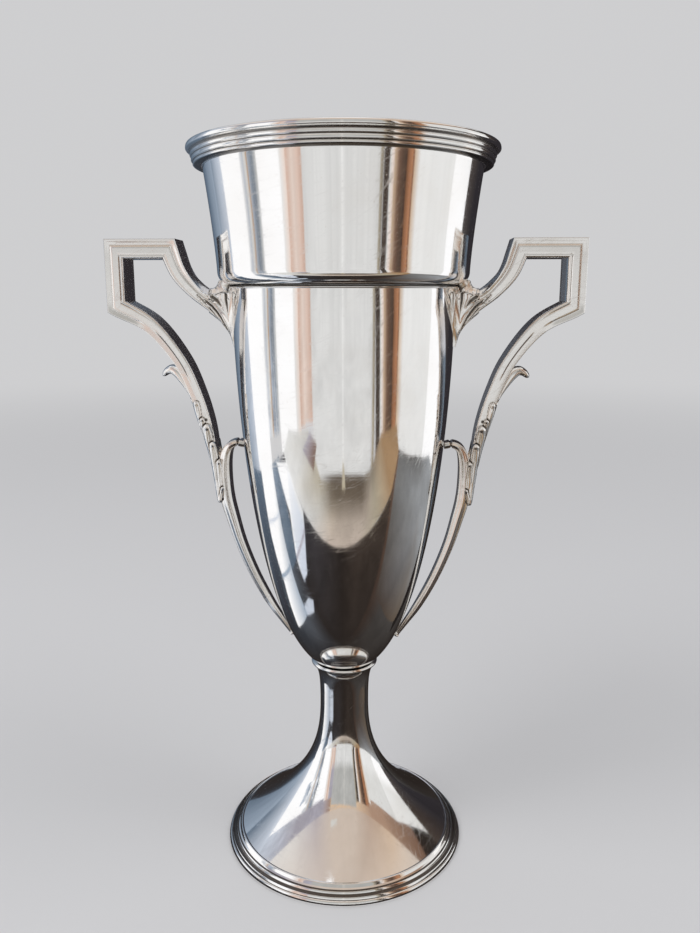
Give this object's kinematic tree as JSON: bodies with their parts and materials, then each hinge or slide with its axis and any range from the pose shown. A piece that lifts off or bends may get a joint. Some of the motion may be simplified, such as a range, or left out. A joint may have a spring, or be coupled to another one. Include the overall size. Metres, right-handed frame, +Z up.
{
  "type": "trophy loving cup",
  "caption": "Tall silver trophy cup with a flared collar, reeded rim, two squared handles with leaf scrolls, and a domed trumpet foot.",
  "frame": {"origin": "on the cup's axis, on the plane that the base ring stands on", "axes": "+Z up along the cup's axis; +X through the right handle, so both handles lie in the XZ plane; -Y faces the viewer of the picture"},
  "size_m": [0.1926, 0.123, 0.3],
  "materials": {
    "bowl_silver": "mirror-polished silver plate with fine hairline scratches",
    "foot_silver": "mirror-polished silver plate with light scratches",
    "moulding_silver": "polished silver plate, darkened in the grooves",
    "handle_silver": "softly polished cast silver plate",
    "leaf_silver": "cast silver plate, tarnished in the hollows",
    "fixing_steel": "plain steel"
  },
  "bodies": {
    "root": {"lower_bowl": "bowl_silver", "upper_collar": "bowl_silver", "foot_shell": "foot_silver", "rim_moulding": "moulding_silver", "shoulder_bead": "moulding_silver", "stem_ring": "moulding_silver", "foot_moulding": "moulding_silver", "foot_base_ring": "moulding_silver", "right_handle_bow": "handle_silver", "right_lower_scroll": "handle_silver", "right_thumb_spur": "handle_silver", "right_shoulder_mount": "handle_silver", "left_handle_bow": "handle_silver", "left_lower_scroll": "handle_silver", "left_thumb_spur": "handle_silver", "left_shoulder_mount": "handle_silver", "right_acanthus_leaf": "leaf_silver", "left_acanthus_leaf": "leaf_silver", "fixing_stud": "fixing_steel", "fixing_washer": "fixing_steel", "fixing_nut": "fixing_steel"}
  },
  "joints": []
}
